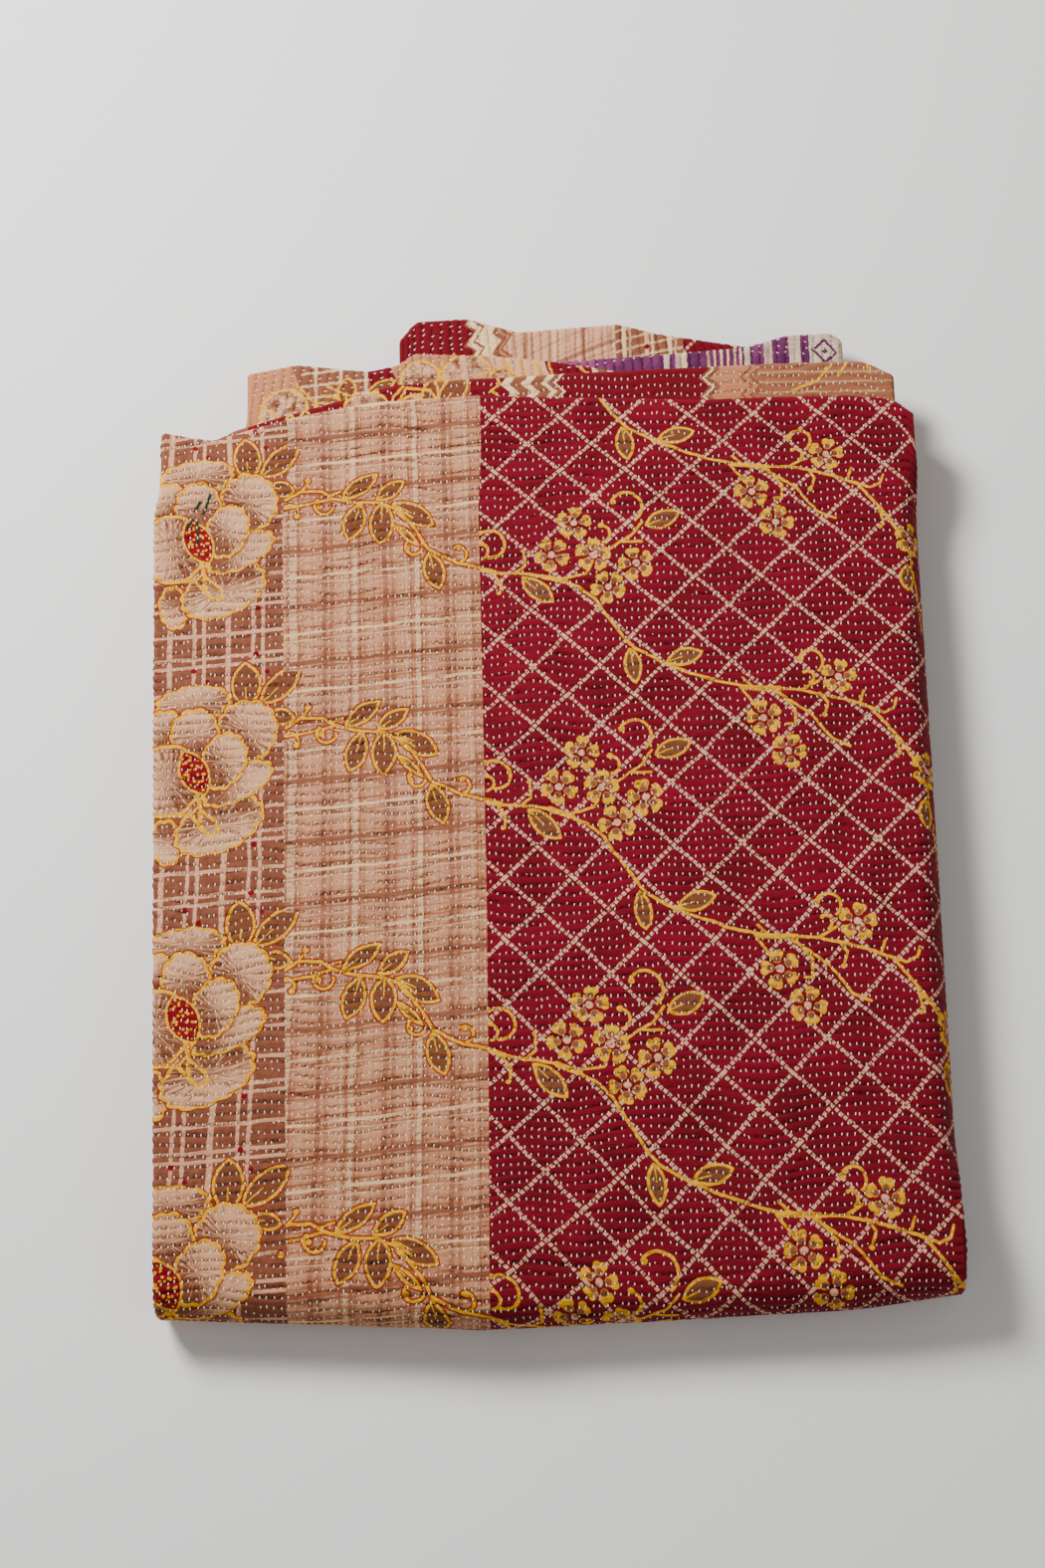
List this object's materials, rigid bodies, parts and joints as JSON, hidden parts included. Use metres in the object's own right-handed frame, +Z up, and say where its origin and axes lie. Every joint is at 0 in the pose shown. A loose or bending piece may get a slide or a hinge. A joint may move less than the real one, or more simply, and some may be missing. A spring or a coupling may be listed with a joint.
{
  "type": "folded kantha quilt",
  "caption": "Hand-stitched cotton quilt lying folded, its top panel wrapped round the front and its rear folds staggered behind it.",
  "frame": {"origin": "under the middle of the folded quilt, on the surface it lies on", "axes": "+X along the folds to the right, +Y from the wrapped front to the staggered rear folds, +Z up"},
  "size_m": [0.5042, 0.6808, 0.0482],
  "materials": {
    "printed cotton": "matt printed cotton, puckered by rows of running stitch"
  },
  "bodies": {
    "root": {"quilt": "printed cotton"}
  },
  "joints": []
}
